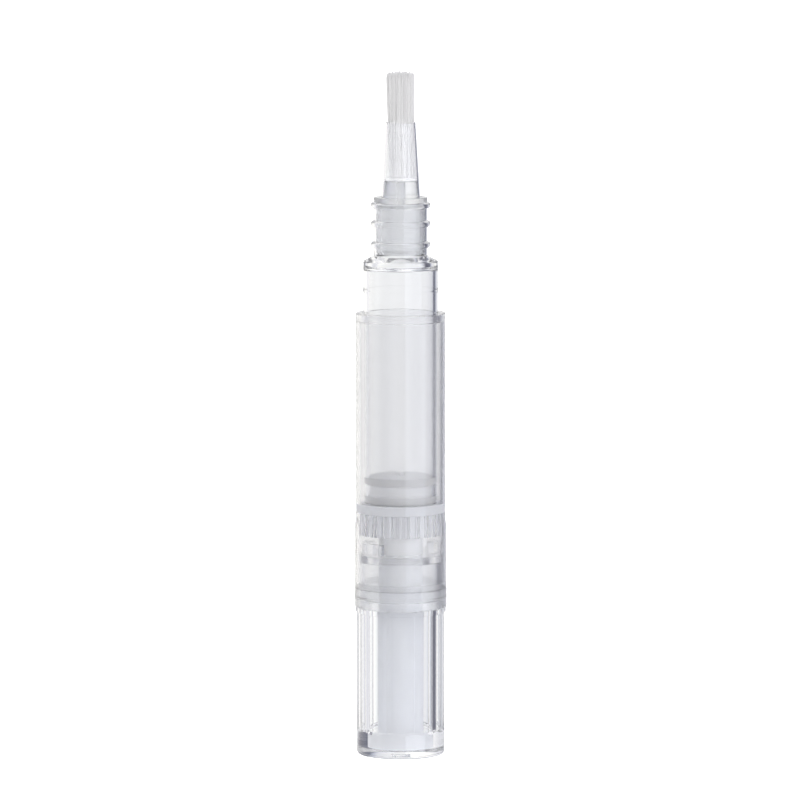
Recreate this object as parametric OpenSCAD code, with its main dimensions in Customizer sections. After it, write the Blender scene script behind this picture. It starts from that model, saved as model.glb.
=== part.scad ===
// Clear twist pen for nail oil. Turning the knob turns a screw, the screw climbs through a fixed
// nut and lifts a piston, and the piston feeds oil up to a brush.
// Lengths are in millimetres and angles in degrees. The pen stands on its knob, Z is its axis,
// and the origin is the centre of the knob's lower face. The front looks along +Y.

/* [Barrel] */
// Outside diameter of the frosted barrel at its rim
barrel_d = 14; // [13.6:0.1:15]
// Wall of the barrel
barrel_wall = 0.7; // [0.6:0.05:0.8]
// Length of the barrel above the lock collar
barrel_l = 43; // [40:0.5:50]
// Length of the barrel's lower stretch, which is a little wider
skirt_l = 10.8; // [10:0.1:13]
// How far that stretch stands out past the rest, on each side
skirt_step = 0.15; // [0.1:0.01:0.2]
// Width of the rim, from the barrel's outside to the clear sleeve
rim_w = 1.17; // [1:0.01:1.4]
// Height of the ledge inside the rim
ledge_h = 1.2; // [0.8:0.1:2]
// Height of the lock collar at the barrel's foot
collar_h = 3; // [2.4:0.1:4]
// How far the lock collar stands out past the barrel, on each side
collar_out = 0.22; // [0.18:0.01:0.4]

/* [Knob] */
// Length of the knob outside the barrel
knob_l = 23.2; // [20:0.1:28]
// How far the knob's side lies inside the barrel's, on each side
knob_inset = 0.1; // [0.05:0.01:0.15]
// Number of flats round the knob
knob_flats = 10; // [8:1:12]
// Height of the knob's round foot, below the flats
knob_foot_h = 4.1; // [3.6:0.1:5]
// Rounding of the foot's lower edge
knob_foot_round = 0.6; // [0.3:0.1:0.9]
// Thickness of the knob's floor
knob_floor_t = 3.9; // [3:0.1:4.5]
// Height of the ring at the knob's upper end
knob_ring_h = 0.8; // [0.6:0.1:1.2]
// How far that ring stands out past the barrel, on each side
knob_ring_out = 0.1; // [0.05:0.01:0.15]
// Wall of the spigot that turns inside the barrel
spigot_wall = 0.6; // [0.5:0.05:0.7]
// Length of the spigot
spigot_l = 7.3; // [6.8:0.1:7.6]

/* [Drive tube] */
// Outside diameter of the drive tube
tube_d = 6.8; // [6.6:0.1:7.4]
// Wall of the tube round the nut's hub
tube_wall = 0.6; // [0.5:0.05:0.65]
// Thickness of the knob under the drive tube
socket_floor_t = 1.1; // [0.8:0.1:1.5]
// Thickness of the tube's own floor
tube_floor_t = 0.5; // [0.4:0.1:1]
// Length of the keyed stretch that turns the screw
key_l = 2.8; // [2:0.1:4]
// How far the nut's hub reaches down into the tube
hub_reach = 0.6; // [0.4:0.1:1]

/* [Screw] */
// Diameter over the screw's crests
screw_d = 3.8; // [3.6:0.1:4]
// Depth of the thread
thread_depth = 0.5; // [0.4:0.05:0.6]
// Rise of one turn of one thread
screw_pitch = 1.5; // [1.2:0.1:1.8]
// Width of the screw across its two flats
screw_across = 2.9; // [2.7:0.1:3.1]

/* [Nut and clicker] */
// Height of the nut
nut_h = 4.9; // [4.5:0.1:5.5]
// Height of the nut's plain rim and web
nut_rim_h = 1.5; // [1.2:0.1:2]
// How much of the nut stands above the barrel's wider stretch
nut_above = 2.5; // [2:0.1:3]
// Number of ribs round the nut, and of clicks in a turn
rib_count = 24; // [18:1:30]
// Width of one rib
rib_w = 0.6; // [0.4:0.05:0.7]
// Height of one rib, outward
rib_h = 0.3; // [0.2:0.05:0.4]
// Thickness of the clicker's disc
click_disc_t = 1.1; // [0.8:0.1:1.4]
// Height of the clicker's spring arms above its disc
click_arm_h = 1.9; // [1.4:0.1:2.2]
// Thickness of one spring arm
click_arm_t = 0.6; // [0.4:0.05:0.8]

/* [Reservoir] */
// Length of the clear sleeve between the rim and the shoulder
sleeve_l = 7.8; // [6:0.1:12]
// How much slimmer the tube is inside the barrel, on each side
tube_relief = 0.2; // [0.17:0.01:0.3]
// Wall of the reservoir tube
reservoir_wall = 0.53; // [0.5:0.01:0.8]
// Rise of the shoulder's slope
shoulder_rise = 0.5; // [0.3:0.1:1]
// Thickness of the reservoir's roof at the sleeve
roof_t = 0.9; // [0.6:0.1:1.2]
// Length of the neck
neck_l = 8.9; // [8:0.1:11]
// Wall of the neck
neck_wall = 0.4; // [0.35:0.01:0.45]
// How far the neck's ribs stand out
neck_rib_out = 0.45; // [0.2:0.05:0.6]
// Height of the cap's snap bead above the rim
bead_rise = 3.5; // [2:0.1:5]
// How far the cap's snap bead stands out
bead_out = 0.12; // [0.08:0.01:0.16]

/* [Piston] */
// Height of the piston
piston_h = 4.2; // [4:0.1:5]
// Height of each of its two sealing lips
lip_h = 1.3; // [1:0.1:1.5]
// Depth of the waist between the lips
waist_depth = 0.6; // [0.4:0.05:0.8]

/* [Brush] */
// Length of the plug inside the neck
plug_l = 7.6; // [5:0.1:7.8]
// Wall of the plug
plug_wall = 0.7; // [0.5:0.05:0.9]
// Thickness of the plug's flange
flange_t = 0.8; // [0.6:0.1:1.2]
// Width of the flange outside the ferrule, which is also the neck's
flange_w = 1.13; // [1:0.01:1.3]
// Outside diameter of the clear ferrule at its base
ferrule_d = 6.14; // [5.8:0.01:6.4]
// Length of the clear ferrule
ferrule_l = 11.6; // [9:0.1:14]
// Wall of the ferrule at its base
ferrule_wall = 0.32; // [0.25:0.01:0.4]
// Wall of the ferrule at its mouth
mouth_wall = 0.25; // [0.2:0.01:0.3]
// Width of the brush
tuft_w = 4; // [3.6:0.1:4.4]
// Thickness of the brush
tuft_t = 2.7; // [2:0.1:3]
// Length of the brush outside the ferrule
tuft_l = 8; // [6:0.1:10]
// Distance between neighbouring bristles
bristle_step = 0.152; // [0.15:0.001:0.168]
// Thickness of one bristle
bristle_d = 0.12; // [0.1:0.005:0.13]

/* [Hidden] */
$fn = 96;

// Clearances, each on one side: of pieces fixed to each other, of pieces that turn or slide in
// each other, of the piston's lips in the tube, and of the screw in the nut
seat_gap = 0.05;
run_gap = 0.08;
lip_gap = 0.04;
thread_gap = 0.15;
// How far a cutting shape runs past what it cuts
overrun = 0.5;
// Rounding of small outside edges
edge = 0.15;
// How far the corners between the knob's flats lie inside its round foot
arris_inset = 0.04;

// Heights, from the knob up to the tips of the brush
z_ring = knob_l - knob_ring_h;
z_collar = knob_l + run_gap;
z_barrel = z_collar + collar_h;
z_step = z_barrel + skirt_l;
z_rim = z_barrel + barrel_l;
z_shoulder = z_rim + sleeve_l;
z_neck = z_shoulder + shoulder_rise;
z_neck_top = z_neck + neck_l;
z_flange = z_neck_top + flange_t;
z_mouth = z_flange + ferrule_l;
z_tips = z_mouth + tuft_l;
z_spigot = knob_l + spigot_l;
z_disc = z_spigot + click_disc_t;
z_nut_top = z_step + nut_above;
z_nut = z_nut_top - nut_h;
z_nut_web = z_nut_top - nut_rim_h;
z_hub = z_nut - hub_reach;
z_tube_top = z_nut - run_gap;
z_key_top = z_hub - thread_gap;
z_roof = z_shoulder - roof_t;
z_plug = z_neck_top - plug_l;

// Radii of the barrel, the knob and what turns between them
barrel_r = barrel_d / 2;
skirt_r = barrel_r + skirt_step;
barrel_bore_r = barrel_r - barrel_wall;
skirt_bore_r = skirt_r - barrel_wall;
collar_r = barrel_r + collar_out;
knob_r = barrel_r - knob_inset;
arris_r = knob_r - arris_inset;
flat_r = arris_r * cos(180 / knob_flats);
knob_ring_r = barrel_r + knob_ring_out;
spigot_r = skirt_bore_r - run_gap;
cavity_r = spigot_r - spigot_wall;

// The collar's tongue in the barrel's foot, and the bead that holds the knob in the collar
tongue_h = 0.9;
tongue_t = barrel_wall / 2;
snap_out = 0.18;
snap_r = 0.3;
z_snap = z_collar + collar_h / 2;
line_w = 0.25;
line_depth = 0.1;
z_line = z_snap + 2 * line_w;

// The gate mark under the knob
gate_r = 1;
gate_depth = 0.25;

// Screw and nut. The thread's outline over one turn's rise comes in equal steps.
screw_r = screw_d / 2;
core_r = screw_r - thread_depth;
thread_starts = 2;
thread_step_shares = [1, 1, 0, 0, 0, 1];
thread_steps = len(thread_step_shares);
thread_columns = thread_steps * thread_starts;
thread_rise = screw_pitch / thread_steps;
tube_r = tube_d / 2;
hub_r = tube_r - tube_wall - run_gap;
tube_bore_r = screw_r + thread_gap + run_gap;
z_screw = socket_floor_t + tube_floor_t + run_gap;
screw_rings = floor((z_nut_top - z_screw) / thread_rise) - 1;
z_thread_top = z_screw + screw_rings * thread_rise;

// The nut's ribs stand between ridges inside the barrel, and the clicker's teeth between others
nut_r = barrel_bore_r - seat_gap;
nut_skirt_r = nut_r - rib_h;
nut_skirt_t = 0.5;
ridge_w = 0.45;
ridge_r = nut_skirt_r + 2 * seat_gap;
ridge_turn = 180 / rib_count;
click_ridge_r = skirt_bore_r - rib_h;
click_arm_r = click_ridge_r - 2 * run_gap;
click_tooth_r = skirt_bore_r - run_gap;
click_tooth_w = 0.5;
click_root_w = 2.4;
click_root_gap = 0.65;
click_root_r = tube_r + click_root_gap;
click_arm_turn = 60;
click_slit = 0.3;
click_ridge_gap = 0.2;

// Reservoir tube
sleeve_r = barrel_r - rim_w;
reservoir_r = sleeve_r - tube_relief;
bore_r = reservoir_r - reservoir_wall;
ferrule_base_r = ferrule_d / 2;
neck_r = ferrule_base_r + flange_w;
neck_bore_r = neck_r - neck_wall;
neck_rib_r = 0.5;
neck_rib_shares = [0.26, 0.63, 0.95];
bead_r = 0.3;
roof_round = 0.4;

// Piston, and the screw's button that turns inside it
lip_r = bore_r - lip_gap;
waist_r = lip_r - waist_depth;
z_piston = z_nut_top + seat_gap;
z_piston_top = z_piston + piston_h;
nub_r = 0.6;
nub_h = 0.5;
button_neck_r = 0.9;
button_r = 1.35;
button_neck_h = 1;
button_h = 1;
button_chamfer = 0.4;

// Brush
plug_r = neck_bore_r - seat_gap;
plug_bore_r = plug_r - plug_wall;
plug_chamfer = 0.4;
plug_roof_t = 0.5;
capillary_r = 0.5;
stub_h = 2.5;
mouth_r = (tuft_w + bristle_d) / 2 + seat_gap;
ferrule_top_r = mouth_r + mouth_wall;
ferrule_bore_r = ferrule_base_r - ferrule_wall;
z_stub = z_flange + stub_h;
z_root = z_stub + seat_gap;
root_h = 1.1;
root_slope = (ferrule_bore_r - mouth_r) / ferrule_l;
stub_r = ferrule_bore_r - root_slope * stub_h - seat_gap;
root_r = stub_r - root_slope * (root_h + seat_gap);
bristle_row = bristle_step * sin(60);
bristle_root_share = 0.95;
bristle_tip_share = 0.55;
tip_ragged = 0.35;
tip_corner = 0.5;

// A ring's half section, with its outer corners rounded where a rounding is given
module band(r_in, r_out, z_low, z_high, round_low = 0, round_high = 0) {
    low = round_low > 0
        ? [[r_out - round_low, z_low], [r_out, z_low + round_low]]
        : [[r_out, z_low]];
    high = round_high > 0
        ? [[r_out, z_high - round_high], [r_out - round_high, z_high]]
        : [[r_out, z_high]];
    polygon(concat([[r_in, z_low]], low, high, [[r_in, z_high]]));
    if (round_low > 0) {
        translate([r_out - round_low, z_low + round_low]) circle(round_low);
    }
    if (round_high > 0) {
        translate([r_out - round_high, z_high - round_high]) circle(round_high);
    }
}

// Straight ridges round the axis, from r_low out to r_high
module ridges(r_low, r_high, w, z_low, z_high, turn) {
    translate([0, 0, z_low])
        linear_extrude(z_high - z_low)
            for (i = [0 : rib_count - 1])
                rotate(turn + i * 360 / rib_count)
                    translate([r_low, -w / 2]) square([r_high - r_low, w]);
}

// A threaded rod between two rings of one helical grid. The radius grows by gap, and
// the sides are cut flat at half_across from the axis.
module threaded_rod(first, last, gap, half_across) {
    function ring_r(i, j) =
        core_r + gap + thread_depth * thread_step_shares[(i - j + thread_columns) % thread_steps];
    function clipped(x) = max(-half_across, min(half_across, x));
    function ring_point(i, j) =
        let (r = ring_r(i, j), a = j * 360 / thread_columns)
        [clipped(r * cos(a)), r * sin(a), z_screw + i * thread_rise];
    n = thread_columns;
    rings = last - first;
    side_points = [for (i = [first : last]) for (j = [0 : n - 1]) ring_point(i, j)];
    end_points = [[0, 0, z_screw + first * thread_rise], [0, 0, z_screw + last * thread_rise]];
    low_end = len(side_points);
    high_end = low_end + 1;
    side_faces = [
        for (i = [0 : rings - 1]) for (j = [0 : n - 1])
            let (a = i * n + j, b = i * n + (j + 1) % n)
            for (f = [[a, b + n, b], [a, a + n, b + n]]) f
    ];
    end_faces = [
        for (j = [0 : n - 1])
            let (a = j, b = (j + 1) % n)
            for (f = [[low_end, a, b], [high_end, rings * n + b, rings * n + a]]) f
    ];
    polyhedron(concat(side_points, end_points), concat(side_faces, end_faces));
}

// Removes what lies outside one flat, down to a ramp that runs out over the knob's foot
module flat_cut() {
    far_r = knob_r + overrun;
    rotate([90, 0, 0])
        linear_extrude(knob_r, center = true)
            polygon([
                [flat_r, z_ring],
                [flat_r, knob_foot_h],
                [far_r, knob_foot_h - (far_r - flat_r)],
                [far_r, z_ring]
            ]);
}

module twist_knob() {
    color([0.92, 0.94, 0.96, 0.45])
        difference() {
            rotate_extrude() {
                band(0, knob_r, 0, z_ring + overrun / 2, knob_foot_round);
                band(0, knob_ring_r, z_ring, knob_l, edge, edge);
                band(0, spigot_r, z_ring, z_spigot);
                translate([spigot_r + snap_out - snap_r, z_snap]) circle(snap_r);
            }
            translate([0, 0, knob_floor_t]) cylinder(r = cavity_r, h = z_spigot);
            translate([0, 0, socket_floor_t]) cylinder(r = tube_r + seat_gap, h = z_spigot);
            translate([0, 0, -overrun]) cylinder(r = gate_r, h = overrun + gate_depth);
            for (i = [0 : knob_flats - 1]) {
                rotate(i * 360 / knob_flats - 90) flat_cut();
            }
        }
}

module drive_tube() {
    color([0.85, 0.86, 0.88])
        difference() {
            translate([0, 0, socket_floor_t])
                cylinder(r = tube_r, h = z_tube_top - socket_floor_t);
            translate([0, 0, socket_floor_t + tube_floor_t])
                cylinder(r = tube_bore_r, h = z_key_top - key_l - socket_floor_t - tube_floor_t);
            translate([0, 0, z_key_top - key_l - overrun])
                linear_extrude(key_l + 2 * overrun)
                    intersection() {
                        circle(screw_r + run_gap);
                        square([screw_across + 2 * run_gap, screw_d + overrun], center = true);
                    }
            translate([0, 0, z_key_top]) cylinder(r = hub_r + run_gap, h = hub_reach + overrun);
        }
}

// One spring arm: a root on the disc, an arc free of the disc and a tooth at the arc's end
module click_arm() {
    translate([click_root_r, -click_root_w / 2, z_disc])
        cube([click_arm_r - seat_gap - click_root_r, click_root_w, click_arm_h]);
    translate([0, 0, z_disc + click_slit])
        linear_extrude(click_arm_h - click_slit) {
            intersection() {
                difference() {
                    circle(click_arm_r);
                    circle(click_arm_r - click_arm_t);
                }
                polygon([
                    [0, 0],
                    [2 * knob_r, 0],
                    [2 * knob_r * cos(click_arm_turn / 2), 2 * knob_r * sin(click_arm_turn / 2)],
                    [2 * knob_r * cos(click_arm_turn), 2 * knob_r * sin(click_arm_turn)]
                ]);
            }
            rotate(click_arm_turn)
                translate([click_arm_r - click_arm_t, -click_tooth_w / 2])
                    square([click_tooth_r - click_arm_r + click_arm_t, click_tooth_w]);
        }
}

module click_ring() {
    color([0.9, 0.92, 0.94, 0.6]) {
        rotate_extrude() band(tube_r + seat_gap, spigot_r, z_spigot, z_disc);
        for (turn = [0, 180]) rotate(turn) click_arm();
    }
}

module lock_collar() {
    color([0.8, 0.81, 0.83])
        rotate_extrude()
            difference() {
                union() {
                    band(skirt_bore_r, collar_r, z_collar, z_barrel, edge, edge / 2);
                    band(skirt_bore_r, skirt_bore_r + tongue_t - seat_gap, z_snap, z_barrel + tongue_h);
                }
                translate([skirt_bore_r + snap_out + run_gap - snap_r - seat_gap, z_snap])
                    circle(snap_r + run_gap);
                translate([collar_r - line_depth, z_line]) square([overrun, line_w]);
            }
}

module outer_barrel() {
    color([0.91, 0.91, 0.9, 0.8]) {
        rotate_extrude()
            difference() {
                union() {
                    band(skirt_bore_r, skirt_r, z_barrel, z_step, 0, edge);
                    band(barrel_bore_r, barrel_r, z_step - barrel_wall, z_rim, 0, edge);
                    band(sleeve_r - tube_relief + seat_gap, barrel_r - edge, z_rim - ledge_h, z_rim);
                }
                translate([skirt_bore_r - overrun, z_barrel - overrun])
                    square([tongue_t + overrun, tongue_h + seat_gap + overrun]);
                translate([0, z_step - barrel_wall - overrun])
                    square([skirt_bore_r, barrel_wall + overrun]);
            }
        ridges(ridge_r, skirt_bore_r + seat_gap, ridge_w, z_nut, z_nut_web, ridge_turn);
        ridges(
            click_ridge_r, skirt_bore_r + seat_gap, ridge_w,
            z_disc + click_ridge_gap, z_disc + click_arm_h - click_ridge_gap, ridge_turn
        );
    }
}

module feed_nut() {
    hub_first = floor((z_hub - z_screw) / thread_rise) - 1;
    hub_last = ceil((z_nut_top - z_screw) / thread_rise) + 1;
    color([0.88, 0.89, 0.91, 0.8])
        difference() {
            union() {
                translate([0, 0, z_hub]) cylinder(r = hub_r, h = z_nut_top - z_hub);
                translate([0, 0, z_nut_web]) cylinder(r = nut_r, h = nut_rim_h);
                translate([0, 0, z_nut])
                    linear_extrude(z_nut_web + edge - z_nut)
                        difference() {
                            circle(nut_skirt_r);
                            circle(nut_skirt_r - nut_skirt_t);
                        }
                ridges(nut_skirt_r - nut_skirt_t / 2, nut_r, rib_w, z_nut, z_nut_web + edge, 0);
            }
            threaded_rod(hub_first, hub_last, thread_gap, screw_d);
        }
}

module lead_screw() {
    color([0.95, 0.95, 0.94]) {
        threaded_rod(0, screw_rings, 0, screw_across / 2);
        rotate_extrude() {
            translate([0, z_thread_top - overrun])
                square([button_neck_r, z_piston + button_neck_h - z_thread_top + overrun + edge]);
            translate([0, z_piston + button_neck_h])
                polygon([
                    [0, 0],
                    [button_r, 0],
                    [button_r, button_h - button_chamfer],
                    [button_r - button_chamfer, button_h],
                    [0, button_h]
                ]);
        }
    }
}

module piston() {
    color([0.93, 0.94, 0.95, 0.85])
        rotate_extrude()
            difference() {
                union() {
                    band(0, lip_r, z_piston, z_piston + lip_h, edge, edge);
                    band(0, waist_r, z_piston + edge, z_piston_top - edge);
                    band(0, lip_r, z_piston_top - lip_h, z_piston_top, edge, edge);
                    band(0, nub_r, z_piston_top - edge, z_piston_top + nub_h, 0, edge);
                }
                translate([-overrun, z_piston - overrun])
                    square([button_neck_r + run_gap + overrun, button_neck_h + overrun]);
                translate([-overrun, z_piston + button_neck_h - run_gap])
                    square([button_r + run_gap + overrun, button_h + 2 * run_gap]);
            }
}

module reservoir_tube() {
    color([0.9, 0.93, 0.96, 0.4])
        rotate_extrude()
            difference() {
                union() {
                    band(0, reservoir_r, z_nut_top, z_rim + edge);
                    band(0, sleeve_r, z_rim, z_shoulder, 0, edge);
                    polygon([
                        [0, z_shoulder - edge],
                        [sleeve_r - edge, z_shoulder - edge],
                        [sleeve_r - edge, z_shoulder],
                        [neck_r, z_neck],
                        [0, z_neck]
                    ]);
                    band(0, neck_r, z_shoulder, z_neck_top);
                    translate([sleeve_r + bead_out - bead_r, z_rim + bead_rise]) circle(bead_r);
                    intersection() {
                        for (share = neck_rib_shares) {
                            translate([neck_r + neck_rib_out - neck_rib_r, z_neck + share * neck_l])
                                circle(neck_rib_r);
                        }
                        translate([neck_bore_r, z_neck]) square([neck_wall + neck_rib_out + overrun, neck_l]);
                    }
                }
                band(-overrun, bore_r, z_nut_top - overrun, z_roof, 0, roof_round);
                translate([-overrun, z_roof - overrun])
                    square([neck_bore_r + overrun, z_neck_top - z_roof + 2 * overrun]);
            }
}

module brush_plug() {
    color([0.93, 0.94, 0.96, 0.6])
        rotate_extrude()
            difference() {
                union() {
                    polygon([
                        [0, z_plug],
                        [plug_r - plug_chamfer, z_plug],
                        [plug_r, z_plug + plug_chamfer],
                        [plug_r, z_neck_top + edge],
                        [0, z_neck_top + edge]
                    ]);
                    band(0, neck_r, z_neck_top, z_flange, edge, edge);
                    band(0, stub_r, z_flange - edge, z_stub);
                }
                translate([-overrun, z_plug - overrun])
                    square([plug_bore_r + overrun, plug_l + overrun - plug_roof_t]);
                translate([-overrun, z_plug])
                    square([capillary_r + overrun, z_stub - z_plug + overrun]);
            }
}

module brush_ferrule() {
    color([0.92, 0.94, 0.96, 0.4])
        rotate_extrude()
            polygon([
                [ferrule_bore_r, z_flange],
                [ferrule_base_r, z_flange],
                [ferrule_top_r, z_mouth],
                [mouth_r, z_mouth]
            ]);
}

// One bristle: a three-sided spike from the root slice at [x, y] up to its own height
module bristle(x, y) {
    wave_turn = 5170 * x / tuft_w + 8230 * y / tuft_w;
    corner_drop = tip_corner * pow(2 * x / tuft_w, 4);
    ragged_drop = tip_ragged * (1 + sin(wave_turn)) / 2;
    top = z_tips - corner_drop - ragged_drop;
    root_spread = bristle_d / 2;
    tip_spread = root_spread * bristle_tip_share;
    points = [
        for (turn = [0, 120, 240]) [
            x * bristle_root_share + root_spread * cos(turn),
            y * bristle_root_share + root_spread * sin(turn),
            z_root + root_h / 2
        ],
        for (turn = [0, 120, 240]) [
            x + tip_spread * cos(turn),
            y + tip_spread * sin(turn),
            top - (turn == 0 ? 0 : bristle_d)
        ]
    ];
    polyhedron(points, [
        [0, 1, 2], [5, 4, 3],
        [0, 3, 4], [0, 4, 1], [1, 4, 5], [1, 5, 2], [2, 5, 3], [2, 3, 0]
    ]);
}

module bristle_tuft() {
    half_w = (tuft_w - bristle_d) / 2;
    half_t = (tuft_t - bristle_d) / 2;
    columns = ceil(half_w / bristle_step) + 1;
    rows = ceil(half_t / bristle_row);
    places = [
        for (j = [-rows : rows])
            for (i = [-columns : columns])
                let (x = (i + (j % 2) / 2) * bristle_step, y = j * bristle_row)
                if (pow(x / half_w, 2) + pow(y / half_t, 2) <= 1) [x, y]
    ];
    echo(bristles = len(places));
    color([0.96, 0.96, 0.96]) {
        translate([0, 0, z_root]) cylinder(r = root_r, h = root_h);
        for (p = places) bristle(p[0], p[1]);
    }
}

twist_knob();
drive_tube();
click_ring();
lock_collar();
outer_barrel();
feed_nut();
lead_screw();
piston();
reservoir_tube();
brush_plug();
brush_ferrule();
bristle_tuft();
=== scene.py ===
"""A clear twist pen for nail oil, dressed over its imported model.

The pen stands on its knob. Its axis is Z, its front faces -Y, and lengths are in metres.
"""

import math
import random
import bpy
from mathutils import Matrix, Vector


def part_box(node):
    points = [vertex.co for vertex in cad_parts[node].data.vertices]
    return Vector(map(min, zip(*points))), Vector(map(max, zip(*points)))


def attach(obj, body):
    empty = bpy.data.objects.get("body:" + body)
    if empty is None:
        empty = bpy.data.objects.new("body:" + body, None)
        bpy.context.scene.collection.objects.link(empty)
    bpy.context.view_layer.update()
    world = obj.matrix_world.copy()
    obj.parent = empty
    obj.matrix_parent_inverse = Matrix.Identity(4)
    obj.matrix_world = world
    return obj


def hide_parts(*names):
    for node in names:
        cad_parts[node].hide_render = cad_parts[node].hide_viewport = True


bl_info = {
    "name": "Nail oil pen",
    "version": (1, 0, 0),
    "blender": (4, 5, 0),
    "location": "3D View > Sidebar > Nail Oil Pen",
    "description": "Models a clear twist pen with a brush, and a pale studio round it",
    "category": "Object",
}

import bmesh
import bpy
from bpy.props import FloatProperty, FloatVectorProperty, IntProperty, PointerProperty
from bpy.types import NodeSocket, Operator, Panel, PropertyGroup
from mathutils import Matrix, Vector

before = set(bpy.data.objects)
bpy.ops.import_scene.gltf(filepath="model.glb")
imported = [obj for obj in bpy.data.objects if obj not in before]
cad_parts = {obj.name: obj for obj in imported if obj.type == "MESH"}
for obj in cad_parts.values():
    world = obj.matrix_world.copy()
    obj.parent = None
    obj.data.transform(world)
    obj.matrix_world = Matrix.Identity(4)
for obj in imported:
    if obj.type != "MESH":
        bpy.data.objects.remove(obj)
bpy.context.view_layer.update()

MM = 0.001

# Steps round the axis: of a turned piece, of the reservoir, the brush's root and the hidden feed
TURN_STEPS = 160
FINE_TURN_STEPS = 192
MEDIUM_TURN_STEPS = 96
SMALL_TURN_STEPS = 64
# Steps of a rounding in an outline, of a spring arm, and of one turn of the thread
ROUND_STEPS = 4
ARM_STEPS = 16
THREAD_STEPS = 48
# Vertices closer than this are one, and a place is matched this closely
MERGE = 1e-7
MATCH = 2e-6
# Digits to which two corners' roundings are told apart
OFFSET_DIGITS = 8
# Faces that meet at less than this angle are shaded as one surface
SMOOTH_ANGLE = math.radians(32)
# How far a cutting shape runs past what it cuts
OVERRUN = 1.0 * MM
# How far a pressed-in piece bites into its seat, so that no air shows between the two
BITE = 0.005 * MM
# Gap between two pieces that run on each other, and between two that stand still
RUN_GAP = 0.08 * MM
FIT_GAP = 0.05 * MM
# Gap above and below the ridges inside the barrel
RIDGE_GAP = 0.2 * MM
# Rounding of small edges, and of finer ones
EDGE = 0.15 * MM
FINE_EDGE = 0.08 * MM
# Height of the nut with its ribs, and of the clicker's arms over its disc
NUT_H = 4.9 * MM
ARM_H = 1.9 * MM
# Half the angle that one crest of the thread takes up
CREST_HALF = math.radians(34)
# The two sides of a pair of flats
SIDES = (-1, 1)

# Moulded plastic: waves and grain to a metre, how much of the relief is grain, and its height
WAVE_SCALE = 180.0
GRAIN_SCALE = 5000.0
GRAIN_SHARE = 0.2
RELIEF = 0.02 * MM
# Its streaks: how they are drawn out along the pull, how much finer they are, and their contrast
STREAK_SHARE = 0.12
STREAKS_TO_WAVES = 6
STREAK_RANGE = (0.3, 0.7)
# How far red, green and blue light spread in milky plastic, against each other
SCATTER = (1.0, 1.0, 1.1)


def low(node):
    """Height of a CAD node's lowest point."""
    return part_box(node)[0].z


def high(node):
    """Height of a CAD node's highest point."""
    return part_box(node)[1].z


def reach(node):
    """Largest radius of a CAD node."""
    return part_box(node)[1].x


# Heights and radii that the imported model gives
Z_SOCKET = low("drive_tube")
Z_SPIGOT = low("click_ring")
Z_COLLAR = low("lock_collar")
Z_TONGUE = high("lock_collar")
Z_BARREL = low("outer_barrel")
Z_RIM = high("outer_barrel")
Z_HUB = low("feed_nut")
Z_NUT_TOP = high("feed_nut")
Z_TUBE_TOP = high("drive_tube")
Z_PISTON = low("piston")
Z_NUB = high("piston")
Z_SCREW = low("lead_screw")
Z_BUTTON = high("lead_screw")
Z_NECK_TOP = high("reservoir_tube")
Z_PLUG = low("brush_plug")
Z_STUB = high("brush_plug")
Z_FLANGE = low("brush_ferrule")
Z_MOUTH = high("brush_ferrule")
Z_ROOT = low("bristle_tuft")
Z_TIPS = high("bristle_tuft")
KNOB_RING_R = reach("twist_knob")
SPIGOT_R = reach("click_ring")
COLLAR_R = reach("lock_collar")
SKIRT_R = reach("outer_barrel")
TUBE_R = reach("drive_tube")
NUT_R = reach("feed_nut")
SCREW_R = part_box("lead_screw")[1].y
LIP_R = reach("piston")
BEAD_R = reach("reservoir_tube")
FLANGE_R = reach("brush_plug")
FERRULE_R = reach("brush_ferrule")


def length(name, description, default):
    """A size of the pen in millimetres, shown in the panel."""
    return FloatProperty(
        name=name, description=description, default=default * MM, min=0, unit="LENGTH", precision=5
    )


def colour(name, description, default):
    """A colour of the pen, shown in the panel."""
    return FloatVectorProperty(
        name=name, description=description, default=default, size=3, min=0, max=1, subtype="COLOR"
    )


class KnobSizes(PropertyGroup):
    flats: IntProperty(name="Flats", description="Number of flats round the knob", default=10, min=6, max=16)
    side_r: length("Side", "Radius of the knob's side before its flats are cut", 6.9)
    flat_r: length("Flat", "Distance from the axis to one flat", 6.524)
    foot_h: length("Foot", "Height of the round foot, below the flats", 4.1)
    foot_round: length("Foot rounding", "Rounding of the foot's lower edge", 0.6)
    floor_t: length("Floor", "Thickness of the knob's floor", 3.9)
    ring_h: length("Ring", "Height of the ring at the knob's upper end", 0.8)
    wall: length("Spigot wall", "Wall of the spigot inside the barrel", 0.6)
    edge: length("Edges", "Rounding of the knob's small edges", 0.15)
    gate_r: length("Gate mark", "Radius of the gate mark under the knob", 1.0)
    gate_depth: length("Gate depth", "Depth of the gate mark", 0.25)
    arris: length("Arrises", "Width of the rounding on each side of an arris", 0.06)
    snap_out: length("Snap bead", "How far the snap bead stands out of the spigot", 0.18)


class BarrelSizes(PropertyGroup):
    wall: length("Wall", "Wall of the barrel and its skirt", 0.7)
    barrel_r: length("Barrel", "Radius of the barrel above its skirt", 7.0)
    skirt_h: length("Skirt", "Height of the wider stretch above the collar", 10.8)
    collar_h: length("Collar", "Height of the lock collar that shows", 3.0)
    ledge_h: length("Ledge", "Height of the ledge inside the rim", 1.2)
    ledge_r: length("Ledge bore", "Radius of the hole in the ledge", 5.68)
    edge: length("Edges", "Rounding of the barrel's edges", 0.15)
    ridge_w: length("Ridges", "Width of one ridge inside the barrel", 0.45)
    ridge_r: length("Nut ridges", "Radius of the inside of the ridges at the nut", 6.05)
    ripple: length("Click ripple", "Height of the low ripple that the clicker runs over", 0.03)
    step_l: length("Step", "Length of the slope between skirt and barrel", 0.7)


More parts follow.
